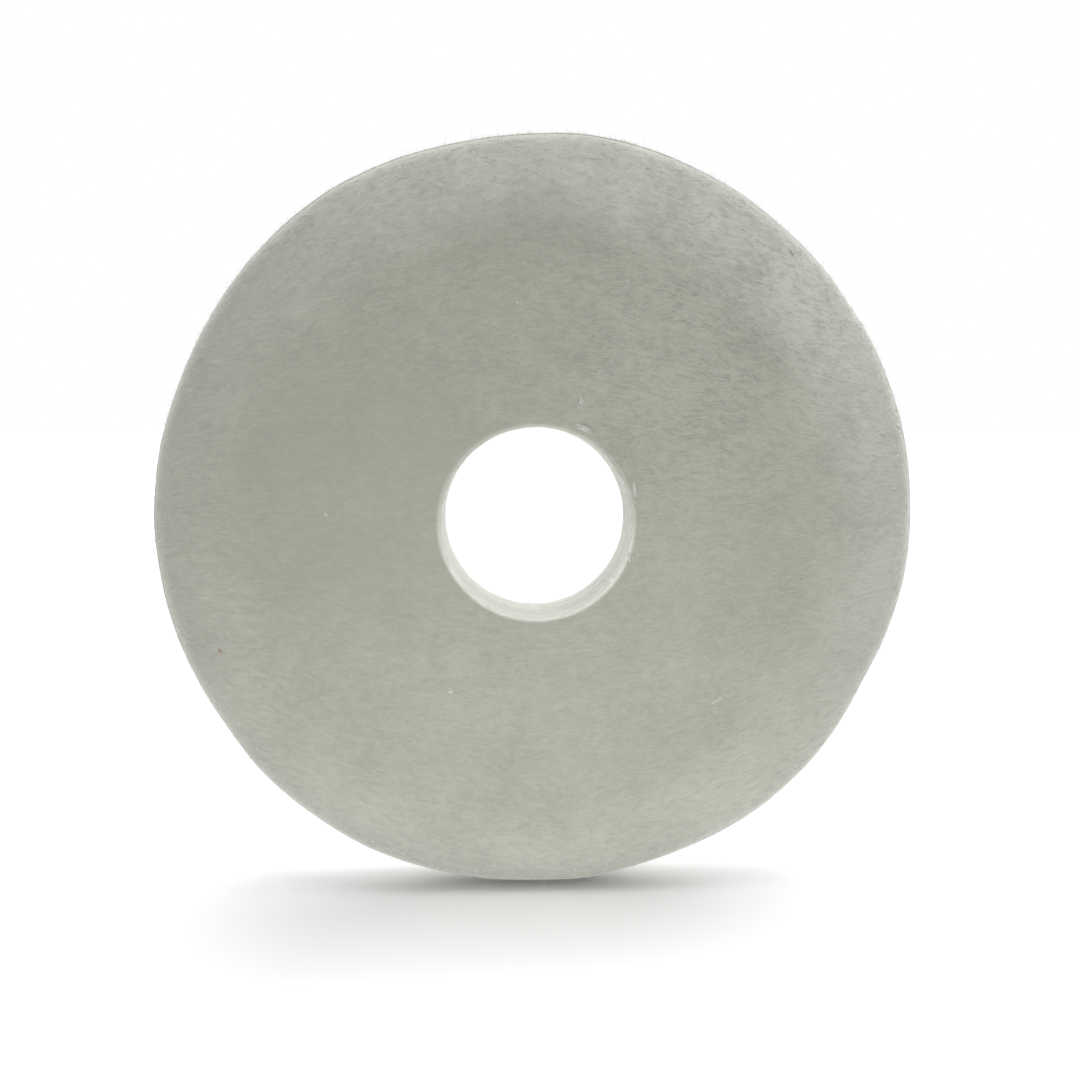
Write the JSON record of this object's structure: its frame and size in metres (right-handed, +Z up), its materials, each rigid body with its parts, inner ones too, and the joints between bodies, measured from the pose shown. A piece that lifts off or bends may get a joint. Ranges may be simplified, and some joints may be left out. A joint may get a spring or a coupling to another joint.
{
  "type": "felt polishing wheel",
  "caption": "Flat round wheel of pressed wool felt plies bonded face to face, with rolled rim edges and a plain arbor bore.",
  "frame": {"origin": "centre of the wheel, on the bore's axis, halfway between the two faces", "axes": "+Y is the spin axis and points out of the back face, so the front face looks along -Y; +Z is up with the wheel standing on edge; +X is to the right seen from the front"},
  "size_m": [0.112, 0.0126, 0.112],
  "materials": {
    "wool_felt": "dense pressed wool felt, undyed grey-white, matte, with a thin fuzz of stray fibres",
    "adhesive": "dried adhesive film, translucent amber, dull"
  },
  "bodies": {
    "root": {"front_face_ply": "wool_felt", "front_bond_film": "adhesive", "front_core_ply": "wool_felt", "middle_bond_film": "adhesive", "back_core_ply": "wool_felt", "back_bond_film": "adhesive", "back_face_ply": "wool_felt"}
  },
  "joints": []
}
